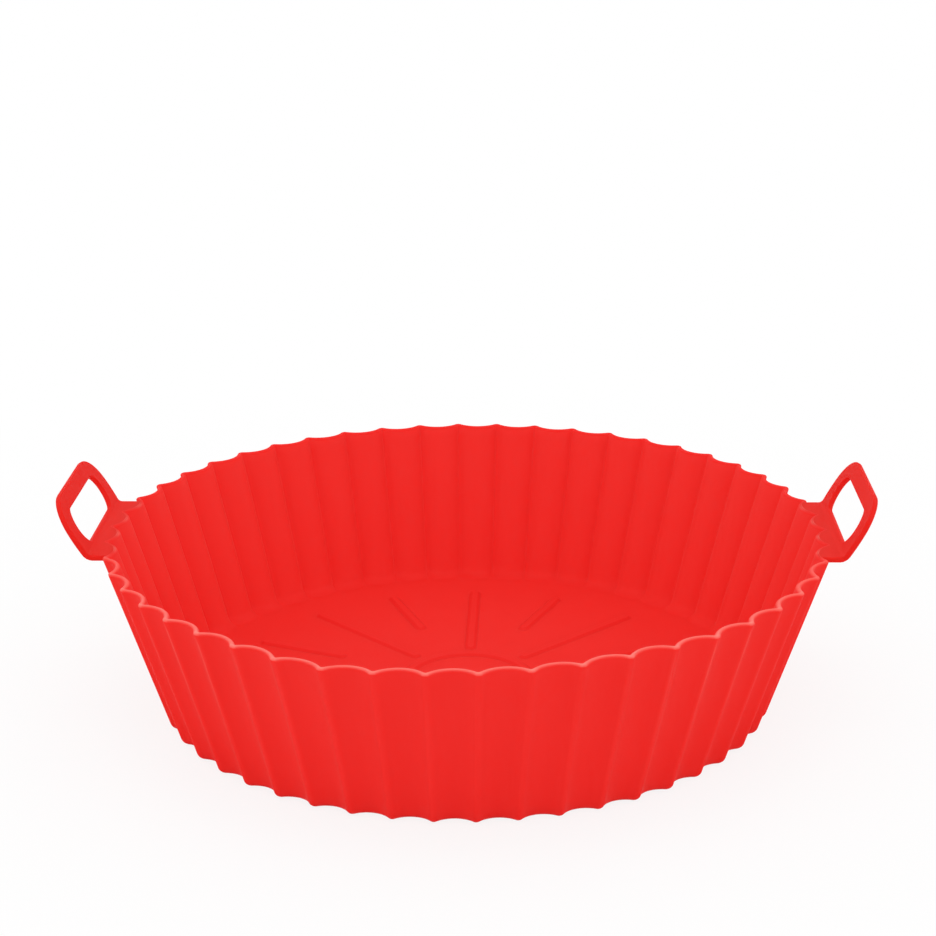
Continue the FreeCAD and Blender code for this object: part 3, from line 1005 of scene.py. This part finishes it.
@dataclass
class Studio:
    """A pale floor, plain soft light and the camera."""

    floor_radius: float = 12.0
    floor_corners: int = 96
    floor_colour: tuple[float, float, float, float] = (0.93, 0.93, 0.93, 1.0)
    floor_roughness: float = 0.8
    floor_specular: float = 0.1
    shadow_start: float = 0.09
    shadow_end: float = 0.32
    near_veil: float = 0.85
    ambient: float = 0.99
    overhead_power: float = 0.5
    overhead_size: float = 0.3
    overhead_height: float = 1.1
    side_power: float = 0.2
    side_height: float = 0.75
    side_width: float = 0.12
    side_distance: float = 0.8
    side_front: float = 0.35
    side_lift: float = 0.35
    aim: Vector = field(default_factory=lambda: Vector((0, 0, 30)) * MM)
    eye: Vector = field(default_factory=lambda: Vector((0.5, -549.8, 243.88)) * MM)
    down_tilt: float = 0.3155
    roll: float = 0.0079
    orbit: float = math.radians(2.1)
    lens: float = 80.92
    sensor: float = 36.0
    clip: tuple[float, float] = (0.01, 100.0)

    def add_floor(self) -> bpy.types.Object:
        """Makes the pale floor, just under the liner.

        Returns:
            The floor's object.
        """
        form = bmesh.new()
        bmesh.ops.create_circle(form, cap_ends=True, radius=self.floor_radius,
                                segments=self.floor_corners)
        mesh = bpy.data.meshes.new("floor")
        form.to_mesh(mesh)
        form.free()
        material = bpy.data.materials.new("pale_floor")
        material.use_nodes = True
        shader = material.node_tree.nodes["Principled BSDF"]
        shader.inputs["Base Color"].default_value = self.floor_colour
        shader.inputs["Roughness"].default_value = self.floor_roughness
        shader.inputs["Specular IOR Level"].default_value = self.floor_specular
        self.veil_floor(material.node_tree, shader)
        mesh.materials.append(material)
        floor = bpy.data.objects.new("floor", mesh)
        bpy.context.scene.collection.objects.link(floor)
        return floor

    def veil_floor(self, tree: bpy.types.NodeTree, shader: bpy.types.Node) -> None:
        """Shows the floor as white far away and keeps the liner's soft shadow near it.

        Args:
            tree: the floor material's nodes.
            shader: the floor's plain shader.
        """
        nodes, links = tree.nodes, tree.links
        place_in, distance = nodes.new("ShaderNodeTexCoord"), nodes.new("ShaderNodeVectorMath")
        distance.operation = "LENGTH"
        links.new(place_in.outputs["Object"], distance.inputs[0])
        veil = nodes.new("ShaderNodeMapRange")
        veil.inputs["From Min"].default_value = self.shadow_start
        veil.inputs["From Max"].default_value = self.shadow_end
        veil.inputs["To Min"].default_value = self.near_veil
        links.new(distance.outputs["Value"], veil.inputs["Value"])
        share = nodes.new("ShaderNodeMath")
        share.operation = "MULTIPLY"
        links.new(self.seen_rays(tree), share.inputs[0])
        links.new(veil.outputs["Result"], share.inputs[1])
        white, mix = nodes.new("ShaderNodeEmission"), nodes.new("ShaderNodeMixShader")
        links.new(share.outputs["Value"], mix.inputs["Fac"])
        links.new(shader.outputs["BSDF"], mix.inputs[1])
        links.new(white.outputs["Emission"], mix.inputs[2])
        links.new(mix.outputs["Shader"], nodes["Material Output"].inputs["Surface"])

    @staticmethod
    def seen_rays(tree: bpy.types.NodeTree) -> bpy.types.NodeSocket:
        """Adds the nodes that tell where the background is looked at.

        Args:
            tree: the nodes of the floor or of the world.

        Returns:
            A socket that is 1 for the camera, for reflections and through clear material, else 0.
        """
        path = tree.nodes.new("ShaderNodeLightPath")
        seen = path.outputs["Is Camera Ray"]
        for kind in ("Is Glossy Ray", "Is Transmission Ray"):
            either = tree.nodes.new("ShaderNodeMath")
            either.operation = "MAXIMUM"
            tree.links.new(seen, either.inputs[0])
            tree.links.new(path.outputs[kind], either.inputs[1])
            seen = either.outputs["Value"]
        return seen

    def add_world(self) -> None:
        """Lights the scene evenly from all round, and shows white behind it."""
        world = bpy.data.worlds.new("soft_white")
        bpy.context.scene.world = world
        world.use_nodes = True
        nodes, links = world.node_tree.nodes, world.node_tree.links
        nodes.clear()
        light, shown = nodes.new("ShaderNodeBackground"), nodes.new("ShaderNodeBackground")
        light.inputs["Strength"].default_value = self.ambient
        light.inputs["Color"].default_value = (1, 1, 1, 1)
        shown.inputs["Strength"].default_value = 1.0
        shown.inputs["Color"].default_value = (1, 1, 1, 1)
        mix, out = nodes.new("ShaderNodeMixShader"), nodes.new("ShaderNodeOutputWorld")
        links.new(self.seen_rays(world.node_tree), mix.inputs["Fac"])
        links.new(light.outputs["Background"], mix.inputs[1])
        links.new(shown.outputs["Background"], mix.inputs[2])
        links.new(mix.outputs["Shader"], out.inputs["Surface"])

    def add_area(self, name: str, power: float, width: float, height: float,
                 spot: Vector) -> bpy.types.Object:
        """Hangs a rectangular soft light that points at the liner.

        Args:
            name: the light's name.
            power: watts.
            width: metres.
            height: metres.
            spot: where it hangs.

        Returns:
            The light's object.
        """
        data = bpy.data.lights.new(name, "AREA")
        data.energy, data.shape = power, "RECTANGLE"
        data.size, data.size_y = width, height
        lamp = bpy.data.objects.new(name, data)
        lamp.location = spot
        lamp.rotation_euler = (self.aim - spot).to_track_quat("-Z", "Y").to_euler()
        bpy.context.scene.collection.objects.link(lamp)
        return lamp

    def add_lights(self) -> None:
        """Hangs the overhead light and a tall narrow one on each side."""
        self.add_area("overhead", self.overhead_power, self.overhead_size, self.overhead_size,
                      Vector((0, 0, self.overhead_height)))
        for name, way in (("side_right", 1), ("side_left", -1)):
            spot = Vector((way * self.side_distance, -self.side_front, self.side_lift))
            self.add_area(name, self.side_power, self.side_width, self.side_height, spot)

    def add_camera(self) -> bpy.types.Object:
        """Stands the camera where the photograph was taken from.

        Returns:
            The camera's object.
        """
        data = bpy.data.cameras.new("camera")
        data.lens, data.sensor_width = self.lens, self.sensor
        data.clip_start, data.clip_end = self.clip
        camera = bpy.data.objects.new("camera", data)
        right = Vector((1, 0, 0))
        upward = Vector((0, math.sin(self.down_tilt), math.cos(self.down_tilt)))
        back = right.cross(upward)
        cosine, sine = math.cos(self.roll), math.sin(self.roll)
        axes = Matrix((right * cosine - upward * sine, right * sine + upward * cosine, back))
        stand = axes.transposed().to_4x4()
        stand.translation = self.eye
        camera.matrix_world = Matrix.Rotation(self.orbit, 4, "Z") @ stand
        bpy.context.scene.collection.objects.link(camera)
        bpy.context.scene.camera = camera
        return camera

    def build(self) -> None:
        """Sets up floor, light and camera."""
        self.add_floor()
        self.add_world()
        self.add_lights()
        self.add_camera()
        bpy.context.scene.view_settings.view_transform = "Standard"


def main() -> None:
    """Builds the liner's visual model and the studio."""
    logging.basicConfig(level=logging.INFO, format="%(name)s: %(message)s")
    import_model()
    silicone, shaded_ear_silicone = SiliconeFinish().material(), ShadedEarFinish().material()
    builders = ((Bowl(), silicone), (FloorRelief(), ReliefFinish().material()),
                (Ear(Side.RIGHT, seat_turn=0.3), shaded_ear_silicone),
                (Ear(Side.LEFT, seat_turn=0.55), shaded_ear_silicone))
    for builder, finish in builders:
        piece = builder.build(finish)
        LOG.info("%s: %d faces", piece.name, len(piece.data.polygons))
    Studio().build()


if __name__ == "__main__":
    main()
